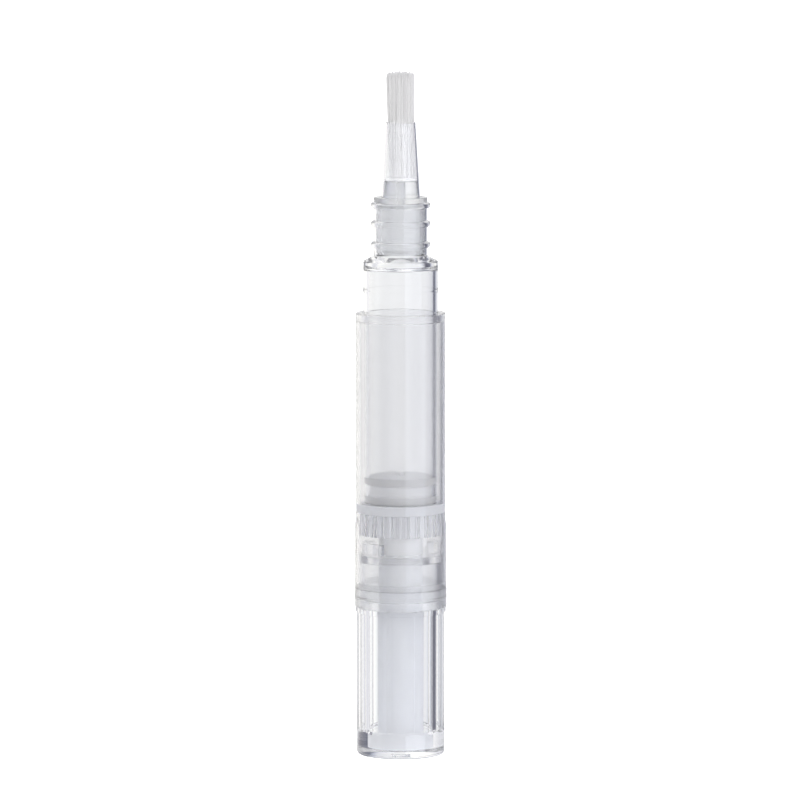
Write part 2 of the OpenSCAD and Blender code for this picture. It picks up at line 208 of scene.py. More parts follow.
class DriveSizes(PropertyGroup):
    tube_floor_t: length("Tube floor", "Thickness of the drive tube's floor", 0.5)
    tube_bore_r: length("Tube bore", "Radius of the drive tube's bore", 2.13)
    key_l: length("Key", "Length of the keyed stretch that turns the screw", 2.8)
    key_half: length("Key half width", "Half the width of the keyed hole", 1.53)
    hub_bore_r: length("Hub bore", "Radius of the tube round the nut's hub", 2.8)
    hub_gap: length("Hub gap", "Gap under the nut's hub", 0.15)
    core_r: length("Screw core", "Radius of the screw's core", 1.4)
    half_across: length("Screw flats", "Distance from the axis to the screw's flats", 1.45)
    lead: length("Lead", "Rise of the screw in one turn", 3.0)
    button_h: length("Button", "Height of the button on the screw", 1.0)
    button_r: length("Button radius", "Radius of the button on the screw", 1.35)
    button_neck_r: length("Button neck", "Radius of the neck under the button", 0.9)
    ribs: IntProperty(name="Ribs", description="Number of ribs round the nut", default=24, min=8, max=36)
    rib_w: length("Rib width", "Width of one rib of the nut", 0.6)
    rib_h: length("Rib height", "How far the nut's ribs stand out", 0.3)
    nut_rim_h: length("Nut rim", "Height of the nut's plain rim and web", 1.5)
    hub_r: length("Hub", "Radius of the nut's hub", 2.72)
    disc_t: length("Clicker disc", "Thickness of the clicker's disc", 1.1)
    arm_t: length("Clicker arm", "Thickness of one spring arm", 0.6)
    arm_r: length("Clicker arm radius", "Outside radius of the spring arms", 5.99)
    lip_h: length("Piston lip", "Height of each lip of the piston", 1.3)
    waist_depth: length("Piston waist", "Depth of the waist between the piston's lips", 0.28)


class ReservoirSizes(PropertyGroup):
    bore_r: length("Bore", "Radius of the oil chamber", 5.1)
    tube_r: length("Tube", "Outside radius of the tube inside the barrel", 5.63)
    sleeve_r: length("Sleeve", "Radius of the clear sleeve above the barrel", 5.83)
    sleeve_h: length("Sleeve height", "Height of the sleeve up to its shoulder", 8.1)
    bead_rise: length("Bead height", "Height of the cap's snap bead above the rim", 3.5)
    neck_r: length("Neck", "Outside radius of the neck", 4.2)
    neck_bore_r: length("Neck bore", "Radius of the neck's bore", 3.8)
    shoulder_rise: length("Shoulder", "Rise of the shoulder's slope", 0.8)
    roof_t: length("Roof", "Thickness of the chamber's roof", 0.9)
    rib_out: length("Neck ribs", "How far the neck's ribs stand out", 0.45)


class BrushSizes(PropertyGroup):
    plug_foot: length("Plug foot", "How far the plug reaches below its packed model", 0.5)
    plug_bore_r: length("Plug bore", "Radius of the plug's hollow", 3.05)
    plug_chamfer: length("Plug chamfer", "Chamfer at the plug's lower end", 0.4)
    plug_roof_t: length("Plug roof", "Thickness of the roof over the plug's hollow", 0.5)
    capillary_r: length("Capillary", "Radius of the capillary through the stub", 0.5)
    mouth_r: length("Mouth", "Outside radius of the ferrule's mouth", 2.36)
    base_wall: length("Base wall", "Wall of the ferrule at its base", 0.32)
    mouth_wall: length("Mouth wall", "Wall of the ferrule at its mouth", 0.25)
    tuft_w: length("Brush width", "Width of the brush", 4.5)
    tuft_lean: length("Brush lean", "How far the brush's tips lean to the left", 0.05)
    tuft_t: length("Brush thickness", "Thickness of the brush", 2.8)
    root_h: length("Root", "Height of the fused root", 0.5)
    step: length("Filament step", "Distance between neighbouring filaments", 0.104)
    filament_r: length("Filament", "Radius of one filament", 0.06)


class PenColours(PropertyGroup):
    clear: colour("Clear plastic", "Tint of the polished clear plastic", (0.985, 0.99, 1.0))
    frosted: colour("Frosted barrel", "Tint of the frosted barrel", (0.96, 0.96, 0.967))
    collar: colour("Frosted collar", "Tint of the lock collar", (0.94, 0.945, 0.96))
    milky: colour("Milky plastic", "Colour of the drive tube in the knob", (0.63, 0.64, 0.67))
    # Painted light: the drive tube is painted lighter inside the barrel, where the frosted barrel lets less
    # light reach it; it is the same plastic as the colour above
    milky_painted_lighter_upper: colour("Milky plastic above", "Colour of the drive tube in the barrel", (0.87, 0.88, 0.9))
    nut: colour("Nut", "Colour of the nut", (0.63, 0.64, 0.67))
    piston: colour("Piston", "Colour of the piston", (0.82, 0.82, 0.83))
    plug: colour("Plug", "Colour of the brush's plug", (0.95, 0.955, 0.965))
    screw: colour("Screw", "Colour of the screw", (0.86, 0.86, 0.85))
    filament: colour("Filaments", "Colour of the brush's filaments", (0.94, 0.935, 0.94))


class StudioSettings(PropertyGroup):
    elevation: FloatProperty(
        name="Elevation", description="How far the camera looks down", default=math.radians(6.7),
        subtype="ANGLE",
    )
    lens: FloatProperty(name="Lens", description="Focal length of the camera in millimetres", default=300.0)
    view_w: length("View width", "Width that the camera sees at the pen", 124.4)
    aim_x: FloatProperty(name="Aim across", description="Sideways place of the view's centre",
                         default=-0.1 * MM, unit="LENGTH", precision=5)
    aim_z: length("Aim height", "Height of the view's centre", 55.6)
    floor_r: length("Floor", "Radius of the studio's floor", 4000.0)


# Making shapes


def open_mesh():
    """Puts the active object in edit mode."""
    bpy.ops.object.mode_set(mode="EDIT")


def close_mesh():
    """Puts the active object back in object mode."""
    bpy.ops.object.mode_set(mode="OBJECT")


def deselect():
    """Leaves nothing selected in object mode."""
    if bpy.context.object and bpy.context.object.mode != "OBJECT":
        close_mesh()
    bpy.ops.object.select_all(action="DESELECT")


def activate(piece):
    """Makes piece the only selected object."""
    deselect()
    piece.select_set(True)
    bpy.context.view_layer.objects.active = piece


def named(name):
    """Names the object that was just added, and its mesh."""
    piece = bpy.context.object
    piece.name = name
    piece.data.name = name
    return piece


def copied(piece):
    """A copy of a piece, with a mesh of its own."""
    copy = piece.copy()
    copy.data = piece.data.copy()
    bpy.context.scene.collection.objects.link(copy)
    return copy


def joined(pieces):
    """Joins pieces into the first of them."""
    activate(pieces[0])
    for piece in pieces[1:]:
        piece.select_set(True)
    bpy.ops.object.join()
    return pieces[0]


def turn(piece, angle):
    """Turns a piece's mesh round the axis."""
    piece.data.transform(Matrix.Rotation(angle, 4, "Z"))


def pick_all():
    """Selects the whole mesh in edit mode."""
    bpy.ops.mesh.select_all(action="SELECT")


def pick(test, kind="VERT"):
    """Selects the vertices or the edges of the mesh in edit mode that pass the test."""
    bpy.ops.mesh.select_mode(type=kind)
    mesh = bpy.context.object.data
    edit = bmesh.from_edit_mesh(mesh)
    for items in (edit.verts, edit.edges, edit.faces):
        for item in items:
            item.select = False
    for item in {"VERT": edit.verts, "EDGE": edit.edges}[kind]:
        if test(item):
            item.select_set(True)
    edit.select_flush_mode()
    bmesh.update_edit_mesh(mesh)


def pick_corners(corners):
    """Selects the vertices that stand at these corners of an outline."""
    pick(lambda v: any(abs(v.co.x - c[0]) + abs(v.co.z - c[1]) < MATCH for c in corners))


def round_corners(offset):
    """Rounds the selected corners, from this distance along their edges."""
    bpy.ops.mesh.bevel(
        offset=offset, offset_type="OFFSET", segments=ROUND_STEPS, affect="VERTICES", clamp_overlap=False
    )


def lift(height):
    """Moves what is selected up."""
    bpy.ops.transform.translate(value=(0, 0, height))


def widen(share, centre=(0, 0, 0)):
    """Scales what is selected, away from the axis or towards it."""
    bpy.ops.transform.resize(value=(share, share, 1), center_override=centre)


def spin(steps, angle):
    """Spins what is selected round the axis."""
    bpy.ops.mesh.spin(steps=steps, angle=angle, center=(0, 0, 0), axis=(0, 0, 1))


def face_out():
    """Turns the faces of the mesh in edit mode outwards."""
    pick_all()
    bpy.ops.mesh.normals_make_consistent(inside=False)


def tidy_mesh():
    """Merges doubles and turns the faces of the mesh in edit mode outwards."""
    pick_all()
    bpy.ops.mesh.remove_doubles(threshold=MERGE)
    face_out()


def cut_flats(half):
    """Cuts two flats into the mesh in edit mode, each at this distance from the axis."""
    for side in SIDES:
        pick_all()
        bpy.ops.mesh.bisect(
            plane_co=(side * half, 0, 0), plane_no=(side, 0, 0), use_fill=True, clear_outer=True,
            threshold=MERGE,
        )


def corner_offset(before, corner, after, rounding):
    """Distance along its two edges at which a corner's rounding starts."""
    one = (Vector(before[:2]) - Vector(corner[:2])).normalized()
    two = (Vector(after[:2]) - Vector(corner[:2])).normalized()
    half = math.acos(max(-1, min(1, one.dot(two)))) / 2
    return rounding / math.tan(half)


def drawn(name, corners):
    """Draws an outline in the XZ plane. A corner is (radius, height) or (radius, height, rounding).

    The outline closes on itself unless it starts and ends on the axis. The object is left in edit mode.
    """
    deselect()
    bpy.ops.mesh.primitive_plane_add(size=MM)
    piece = named(name)
    open_mesh()
    bpy.ops.mesh.select_mode(type="VERT")
    pick_all()
    bpy.ops.mesh.merge(type="CENTER")
    bpy.ops.transform.translate(value=(corners[0][0], 0, corners[0][1]))
    for a, b in zip(corners, corners[1:]):
        bpy.ops.mesh.extrude_vertices_move(
            TRANSFORM_OT_translate={"value": (b[0] - a[0], 0, b[1] - a[1])}
        )
    ends = (corners[0], corners[-1])
    if any(c[0] > 0 for c in ends):
        pick_corners(ends)
        bpy.ops.mesh.edge_face_add()
    groups = {}
    for i, corner in enumerate(corners):
        if len(corner) > 2 and corner[2] > 0:
            after = corners[(i + 1) % len(corners)]
            offset = corner_offset(corners[i - 1], corner, after, corner[2])
            groups.setdefault(round(offset, OFFSET_DIGITS), []).append(corner)
    for offset, members in groups.items():
        pick_corners(members)
        round_corners(offset)
    return piece


def wall(radius, first_z, last_z, rounding=0):
    """Two corners of an outline that stand one above the other, rounded alike."""
    return (radius, first_z, rounding), (radius, last_z, rounding)


def turned(name, corners, steps=TURN_STEPS):
    """Spins an outline round the axis into a closed solid."""
    piece = drawn(name, corners)
    pick_all()
    spin(steps, math.tau)
    tidy_mesh()
    close_mesh()
    return piece


def block(name, lowest, highest, rounding, upright_only=True):
    """A box between two corners, with its upright edges rounded, or all of its edges."""
    deselect()
    bpy.ops.mesh.primitive_cube_add(size=1)
    piece = named(name)
    open_mesh()
    pick_all()
    bpy.ops.transform.resize(value=[b - a for a, b in zip(lowest, highest)])
    bpy.ops.transform.translate(value=[(a + b) / 2 for a, b in zip(lowest, highest)])
    pick(lambda e: not upright_only or abs(e.verts[0].co.z - e.verts[1].co.z) > MATCH, "EDGE")
    bpy.ops.mesh.bevel(offset=rounding, segments=2, affect="EDGES")
    close_mesh()
    return piece


def turned_copies(piece, count, first=0):
    """Sets copies of a piece round the axis, the first one turned by an angle, and joins them."""
    copies = [copied(piece) for _ in range(count)]
    for i, copy in enumerate(copies):
        turn(copy, first + i * math.tau / count)
    bpy.data.objects.remove(piece)
    return joined(copies)


def thread(name, core_r, crest_r, z_low, z_high, lead):
    """A twin-start threaded rod: a two-lobed section that rises as it turns."""
    deselect()
    bpy.ops.mesh.primitive_circle_add(
        vertices=THREAD_STEPS, radius=core_r, fill_type="NOTHING", location=(0, 0, 0)
    )
    rod = named(name)
    open_mesh()

    def on_crest(v):
        angle = math.atan2(v.co.y, v.co.x) % math.pi
        return min(angle, math.pi - angle) < CREST_HALF

    pick(on_crest)
    widen(crest_r / core_r)
    pick_all()
    lift(z_low)
    close_mesh()
    steps = round((z_high - z_low) / lead * THREAD_STEPS)
    activate(rod)
    rise = rod.modifiers.new("Screw", "SCREW")
    rise.axis = "Z"
    rise.angle = math.tau * steps / THREAD_STEPS
    rise.screw_offset = z_high - z_low
    rise.steps = steps
    rise.render_steps = steps
    rise.iterations = 1
    bpy.ops.object.modifier_apply(modifier=rise.name)
    open_mesh()
    for z in (z_low, z_high):
        pick(lambda e: all(abs(v.co.z - z) < MATCH for v in e.verts), "EDGE")
        bpy.ops.mesh.edge_face_add()
    tidy_mesh()
    close_mesh()
    return rod


def combined(piece, other, operation):
    """Applies a Boolean with another object, which is then removed."""
    activate(piece)
    modifier = piece.modifiers.new(operation, "BOOLEAN")
    modifier.operation = operation
    modifier.solver = "EXACT"
    modifier.object = other
    bpy.ops.object.modifier_apply(modifier=modifier.name)
    bpy.data.objects.remove(other)


def finished(piece, node, body, material):
    """Smooths a piece, gives it its material and sets it in place of its CAD node."""
    activate(piece)
    bpy.ops.object.shade_smooth_by_angle(angle=SMOOTH_ANGLE)
    weighted = piece.modifiers.new("Weighted normals", "WEIGHTED_NORMAL")
    weighted.keep_sharp = True
    bpy.ops.object.modifier_apply(modifier=weighted.name)
    piece.data.materials.clear()
    piece.data.materials.append(material)
    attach(piece, body)
    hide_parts(node)


def bore_slope(s):
    """How much the ferrule's bore narrows for each unit of its height."""
    return (FERRULE_R - s.base_wall - s.mouth_r + s.mouth_wall) / (Z_MOUTH - Z_FLANGE)


# Materials


def fed(tree, node, inputs):
    """Links each input of a node to its socket, or sets it to its value."""
    for name, value in inputs.items():
        if isinstance(value, NodeSocket):
            tree.links.new(value, node.inputs[name])
        else:
            node.inputs[name].default_value = value
    return node


def added(tree, kind, inputs, **settings):
    """Adds a node with its settings and its inputs."""
    node = tree.nodes.new(kind)
    for name, value in settings.items():
        setattr(node, name, value)
    return fed(tree, node, inputs)


def computed(tree, operation, one, two):
    """The socket of what a sum gives."""
    return added(tree, "ShaderNodeMath", {0: one, 1: two}, operation=operation).outputs[0]


def remap(tree, value, least, most, to_least=0, to_most=1):
    """The socket of a value whose range is mapped to another one."""
    return added(tree, "ShaderNodeMapRange", {
        "Value": value, "From Min": least, "From Max": most, "To Min": to_least, "To Max": to_most,
    }).outputs["Result"]


def noise(tree, place, scale, detail):
    """The socket of a noise's value."""
    inputs = {"Vector": place, "Scale": scale, "Detail": detail}
    return added(tree, "ShaderNodeTexNoise", inputs).outputs["Fac"]


def colour_mix(tree, factor, one, two, blend="MIX"):
    """The socket of a mix of two colours."""
    return added(
        tree, "ShaderNodeMix", {"Factor": factor, "A": one, "B": two}, data_type="RGBA", blend_type=blend
    ).outputs["Result"]


def tint(name, share=1):
    """One of the pen's colours, as a node takes it, made darker by a share."""
    return (*(c * share for c in getattr(bpy.context.scene.pen_colours, name)), 1)


def moulded_group():
    """Node group for moulded plastic: slow waves, fine grain and faint streaks along the pull."""
    group = bpy.data.node_groups.get("Moulded plastic")
    if group:
        return group
    group = bpy.data.node_groups.new("Moulded plastic", "ShaderNodeTree")
    face = group.interface
    face.new_socket("Place", in_out="INPUT", socket_type="NodeSocketVector")
    for name, default in (
        ("Wave Scale", WAVE_SCALE),
        ("Grain Scale", GRAIN_SCALE),
        ("Grain Share", GRAIN_SHARE),
        ("Low", 0.0),
        ("High", 0.1),
    ):
        face.new_socket(name, in_out="INPUT", socket_type="NodeSocketFloat").default_value = default
    for name in ("Height", "Roughness", "Mask"):
        face.new_socket(name, in_out="OUTPUT", socket_type="NodeSocketFloat")
    start = group.nodes.new("NodeGroupInput").outputs
    stretch = added(group, "ShaderNodeMapping", {"Vector": start["Place"], "Scale": (1, 1, STREAK_SHARE)})
    finer = computed(group, "MULTIPLY", start["Wave Scale"], STREAKS_TO_WAVES)
    streaks = noise(group, stretch.outputs["Vector"], finer, detail=3)
    waves = noise(group, start["Place"], start["Wave Scale"], detail=1)
    grain = noise(group, start["Place"], start["Grain Scale"], detail=2)
    height = added(group, "ShaderNodeMix", {"Factor": start["Grain Share"], "A": waves, "B": grain})
    fed(group, group.nodes.new("NodeGroupOutput"), {
        "Height": height.outputs["Result"],
        "Roughness": remap(group, streaks, *STREAK_RANGE, start["Low"], start["High"]),
        "Mask": streaks,
    })
    return group


def plastic(name, colour_name, roughness, transmission=0.0, ior=1.5, subsurface=0.0, wave_scale=WAVE_SCALE,
            grain_share=GRAIN_SHARE, bump=0.1, variation=0.03, painted_lighter_upper=None):
    """A moulded plastic: its tint varies a little, and its roughness and relief come from nodes.

    roughness is the lowest and the highest. upper is a height, the height above it where the change
    ends, and the name of a lighter colour painted from there up: painted light, for a piece that gets less
    light higher up.
    """
    material = bpy.data.materials.get(name)
    if material:
        return material
    material = bpy.data.materials.new(name)
    material.use_nodes = True
    tree = material.node_tree
    place = added(tree, "ShaderNodeTexCoord", {}).outputs["Object"]
    moulded = added(tree, "ShaderNodeGroup", {
        "Place": place, "Wave Scale": wave_scale, "Grain Scale": GRAIN_SCALE, "Grain Share": grain_share,
        "Low": roughness[0], "High": roughness[1],
    }, node_tree=moulded_group()).outputs
    shade = colour_mix(tree, moulded["Mask"], tint(colour_name), tint(colour_name, 1 - variation))
    # Painted light: the colour turns lighter above a height, to make up for the light that reaches less
    # there
    if painted_lighter_upper:
        z_low, z_high, painted_lighter_upper_name = painted_lighter_upper
        split = added(tree, "ShaderNodeSeparateXYZ", {"Vector": place})
        shade = colour_mix(tree, remap(tree, split.outputs["Z"], z_low, z_high), shade, tint(painted_lighter_upper_name))
    relief = added(tree, "ShaderNodeBump", {
        "Strength": bump, "Distance": RELIEF, "Height": moulded["Height"],
    })
    fed(tree, tree.nodes["Principled BSDF"], {
        "Base Color": shade,
        "Roughness": moulded["Roughness"],
        "Normal": relief.outputs["Normal"],
        "Transmission Weight": transmission,
        "IOR": ior,
        "Subsurface Weight": subsurface,
        "Subsurface Radius": SCATTER,
        "Subsurface Scale": MM,
    })
    return material


def clear_plastic():
    """Polished clear plastic, as glossy as glass."""
    return plastic("Polished clear plastic", "clear", (0.0, 0.02), transmission=1.0, grain_share=0.05,
                   bump=0.02, variation=0.01)


# Pieces


class TwistKnob(Operator):
    """Model the clear twist knob with its flats, ring and spigot"""

    bl_idname = "pen.twist_knob"
    bl_label = "Twist Knob"

    def execute(self, context):
        s = context.scene.pen_knob
        z_ring = Z_COLLAR - RUN_GAP - s.ring_h
        z_top = z_ring + s.ring_h
        cavity_r = SPIGOT_R - s.wall
        socket_r = TUBE_R - BITE
        gate_round = s.gate_depth / 3
        z_snap = Z_COLLAR + context.scene.pen_barrel.collar_h / 2
        bead_half_share = 1.5
        bead_half = bead_half_share * s.snap_out
        knob = turned("clear_twist_knob", [
            (0, s.gate_depth),
            *wall(s.gate_r, s.gate_depth, 0, gate_round),
            (s.side_r, 0, s.foot_round),
            (s.side_r, z_ring),
            *wall(KNOB_RING_R, z_ring, z_top, s.edge),
            *wall(SPIGOT_R, z_top, z_snap - bead_half),
            (SPIGOT_R + s.snap_out, z_snap, s.snap_out),
            (SPIGOT_R, z_snap + bead_half),
            (SPIGOT_R, Z_SPIGOT, s.edge),
            *wall(cavity_r, Z_SPIGOT, s.floor_t, s.edge),
            *wall(socket_r, s.floor_t, Z_SOCKET),
            (0, Z_SOCKET),
        ])
        combined(knob, self.flats_core(s, z_ring), "INTERSECT")
        finished(knob, "twist_knob", "knob", clear_plastic())
        return {"FINISHED"}

    def flats_core(self, s, z_ring):
        """The shape that keeps the knob inside its flats and lets their feet run out in ramps."""
        deselect()
        corner_r = s.flat_r / math.cos(math.pi / s.flats)
        bpy.ops.mesh.primitive_circle_add(
            vertices=s.flats, radius=corner_r, fill_type="NGON", location=(0, 0, 0)
        )
        core = named("flats_core")
        open_mesh()
        pick_all()
        bpy.ops.transform.rotate(value=math.pi / s.flats, orient_axis="Z", center_override=(0, 0, 0))
        round_corners(s.arris)
        foot_share = (s.flat_r + s.foot_h + OVERRUN) / s.flat_r
        ring_share = KNOB_RING_R / corner_r
        levels = (
            (-OVERRUN, foot_share),
            (s.foot_h, 1),
            (z_ring, 1),
            (z_ring, ring_share),
            (Z_SPIGOT + OVERRUN, ring_share),
        )
        pick_all()
        lift(levels[0][0])
        widen(foot_share)
        for (z_before, share_before), (z, share) in zip(levels, levels[1:]):
            bpy.ops.mesh.extrude_region_move(TRANSFORM_OT_translate={"value": (0, 0, z - z_before)})
            widen(share / share_before)
        face_out()
        close_mesh()
        return core


class LockCollar(Operator):
    """Model the frosted collar that locks the knob to the barrel"""

    bl_idname = "pen.lock_collar"
    bl_label = "Lock Collar"

    def execute(self, context):
        s = context.scene.pen_barrel
        bore_r = SKIRT_R - s.wall
        z_top = Z_COLLAR + s.collar_h
        z_snap = Z_COLLAR + s.collar_h / 2
        line_h = 0.25 * MM
        line_depth = 0.06 * MM
        line_r = COLLAR_R - line_depth
        z_line = z_snap + 2 * line_h
        tongue_t = 0.3 * MM
        tongue_r = bore_r + tongue_t
        groove = 0.22 * MM
        groove_half_share = 1.3
        groove_half = groove_half_share * groove
        collar = turned("frosted_lock_collar", [
            (bore_r, Z_COLLAR),
            (COLLAR_R, Z_COLLAR, s.edge),
            (COLLAR_R, z_line),
            *wall(line_r, z_line, z_line + line_h),
            (COLLAR_R, z_line + line_h),
            (COLLAR_R, z_top, s.edge / 2),
            *wall(tongue_r, z_top, Z_TONGUE),
            *wall(bore_r, Z_TONGUE, z_snap + groove_half),
            (bore_r + groove, z_snap, groove),
            (bore_r, z_snap - groove_half),
        ])
        material = plastic("Frosted collar plastic", "collar", (0.16, 0.22), transmission=0.88, ior=1.48,
                           grain_share=0.6, bump=0.02)
        finished(collar, "lock_collar", "pen_body", material)
        return {"FINISHED"}


class OuterBarrel(Operator):
    """Model the frosted barrel with its rim, skirt and inner ridges"""

    bl_idname = "pen.outer_barrel"
    bl_label = "Frosted Barrel"

    def execute(self, context):
        s = context.scene.pen_barrel
        d = context.scene.pen_drive
        skirt_bore_r = SKIRT_R - s.wall
        bore_r = s.barrel_r - s.wall
        z_step = Z_BARREL + s.skirt_h
        step_round = 4 * s.step_l
        notch_r = skirt_bore_r + s.wall / 2
        z_notch = Z_TONGUE + FIT_GAP
        z_disc = Z_SPIGOT + d.disc_t
        z_click_low = z_disc + RIDGE_GAP
        z_click_high = z_disc + ARM_H - RIDGE_GAP
        steps_in_rib = 8
        barrel = turned("frosted_outer_barrel", [
            (notch_r, Z_BARREL),
            (SKIRT_R, Z_BARREL),
            (SKIRT_R, z_step - s.step_l, step_round),
            (s.barrel_r, z_step, step_round),
            (s.barrel_r, Z_RIM, s.edge),
            *wall(s.ledge_r, Z_RIM, Z_RIM - s.ledge_h),
            (bore_r, Z_RIM - s.ledge_h, s.edge),
            (bore_r, z_step),
            *wall(skirt_bore_r, z_step - s.step_l, z_click_high + RIDGE_GAP / 2),
            *wall(skirt_bore_r, z_click_high, z_click_low),
            *wall(skirt_bore_r, z_click_low - RIDGE_GAP / 2, z_notch),
            (notch_r, z_notch),
        ], steps=steps_in_rib * d.ribs)
        self.ripple(skirt_bore_r, s.ripple, z_click_low, z_click_high, d.ribs)
        z_web = Z_NUT_TOP - d.nut_rim_h
        ridge_round = 0.12 * MM
        ridge = block("ridge", (s.ridge_r, -s.ridge_w / 2, Z_NUT_TOP - NUT_H),
                      (skirt_bore_r + s.wall / 4, s.ridge_w / 2, z_web - RIDGE_GAP / 4), ridge_round)
        combined(barrel, turned_copies(ridge, d.ribs, math.pi / d.ribs), "UNION")
        material = plastic("Frosted barrel plastic", "frosted", (0.1, 0.15), transmission=0.95, ior=1.48,
                           grain_share=0.5, bump=0.004, variation=0.01)
        finished(barrel, "outer_barrel", "pen_body", material)
        return {"FINISHED"}

    def ripple(self, bore_r, depth, z_low, z_high, count):
        """Draws the bore in a little, once between each two ribs, for the clicker's teeth."""
        near_share = 0.01

        def on_crest(v):
            steps = math.atan2(v.co.y, v.co.x) * count / math.tau - 0.5
            on_bore = abs(v.co.xy.length - bore_r) < 2 * MATCH
            between_ribs = abs(steps - round(steps)) < near_share
            return on_bore and between_ribs and z_low - MATCH < v.co.z < z_high + MATCH

        open_mesh()
        pick(on_crest)
        widen(1 - depth / bore_r)
        close_mesh()


class DriveTube(Operator):
    """Model the milky tube that turns the screw"""

    bl_idname = "pen.drive_tube"
    bl_label = "Drive Tube"

    def execute(self, context):
        s = context.scene.pen_drive
        z_key_top = Z_HUB - s.hub_gap
        z_key = z_key_top - s.key_l
        tube = turned("milky_drive_tube", [
            (0, Z_SOCKET),
            (TUBE_R, Z_SOCKET),
            (TUBE_R, Z_TUBE_TOP, EDGE),
            *wall(s.hub_bore_r, Z_TUBE_TOP, z_key_top),
            *wall(s.core_r / 2, z_key_top, z_key),
            (s.tube_bore_r, z_key),
            (s.tube_bore_r, Z_SOCKET + s.tube_floor_t, EDGE),
            (0, Z_SOCKET + s.tube_floor_t),
        ])
        deselect()
        bpy.ops.mesh.primitive_cylinder_add(
            vertices=SMALL_TURN_STEPS, radius=SCREW_R + RUN_GAP, depth=s.key_l + OVERRUN, location=(0, 0, 0)
        )
        key = named("key")
        open_mesh()
        cut_flats(s.key_half)
        pick_all()
        lift((z_key + z_key_top) / 2)
        close_mesh()
        combined(tube, key, "DIFFERENCE")
        # Painted light: the tube is painted lighter from the collar up, to make up for the light that the
        # frosted barrel takes
        painted_light_blend_h = 10 * EDGE
        material = plastic("Milky tube plastic", "milky", (0.3, 0.42), subsurface=0.15, wave_scale=250.0,
                           painted_lighter_upper=(Z_COLLAR - EDGE, Z_COLLAR + painted_light_blend_h, "milky_painted_lighter_upper"))
        finished(tube, "drive_tube", "knob", material)
        return {"FINISHED"}


class LeadScrew(Operator):
    """Model the twin-start screw with its flats and button"""

    bl_idname = "pen.lead_screw"
    bl_label = "Lead Screw"

    def execute(self, context):
        s = context.scene.pen_drive
        bare_l = 0.45 * MM
        z_thread_top = Z_PISTON - bare_l
        screw = thread("white_lead_screw", s.core_r, SCREW_R, Z_SCREW, z_thread_top, s.lead)
        activate(screw)
        open_mesh()
        cut_flats(s.half_across)
        tidy_mesh()
        close_mesh()
        overlap = 0.5 * MM
        z_neck = z_thread_top - overlap
        chamfer = 0.4 * MM
        button = turned("button", [
            (0, z_neck),
            *wall(s.button_neck_r, z_neck, Z_BUTTON - s.button_h),
            (s.button_r, Z_BUTTON - s.button_h, chamfer / 4),
            (s.button_r, Z_BUTTON - chamfer),
            (s.button_r - chamfer, Z_BUTTON),
            (0, Z_BUTTON),
        ], steps=SMALL_TURN_STEPS)
        combined(screw, button, "UNION")
        material = plastic("White screw plastic", "screw", (0.35, 0.5), subsurface=0.05)
        finished(screw, "lead_screw", "screw", material)
        return {"FINISHED"}


class FeedNut(Operator):
    """Model the nut with its rim, ribs and threaded hub"""

    bl_idname = "pen.feed_nut"
    bl_label = "Feed Nut"

    def execute(self, context):
        s = context.scene.pen_drive
        b = context.scene.pen_barrel
        z_nut = Z_NUT_TOP - NUT_H
        z_web = Z_NUT_TOP - s.nut_rim_h
        skirt_r = NUT_R - s.rib_h
        skirt_t = 0.5 * MM
        rim_r = b.barrel_r - b.wall + BITE
        nut = turned("milky_feed_nut", [
            (0, Z_HUB),
            (s.hub_r, Z_HUB, FINE_EDGE),
            (s.hub_r, z_web, 2 * FINE_EDGE),
            (skirt_r - skirt_t, z_web, 2 * FINE_EDGE),
            (skirt_r - skirt_t, z_nut),
            (skirt_r, z_nut, FINE_EDGE),
            (skirt_r, z_web),
            *wall(rim_r, z_web, Z_NUT_TOP, FINE_EDGE),
            (0, Z_NUT_TOP),
        ])
        rib = block("rib", (skirt_r - skirt_t / 2, -s.rib_w / 2, z_nut),
                    (NUT_R, s.rib_w / 2, z_web + FINE_EDGE), FINE_EDGE)
        combined(nut, turned_copies(rib, s.ribs), "UNION")
        gap = 0.15 * MM
        z_low = Z_HUB - OVERRUN / 2
        z_high = Z_NUT_TOP + OVERRUN / 2
        hole = thread("hole", s.core_r + gap, SCREW_R + gap, z_low, z_high, s.lead)
        combined(nut, hole, "DIFFERENCE")
        material = plastic("Milky nut plastic", "nut", (0.35, 0.45), subsurface=0.5)
        finished(nut, "feed_nut", "pen_body", material)
        return {"FINISHED"}


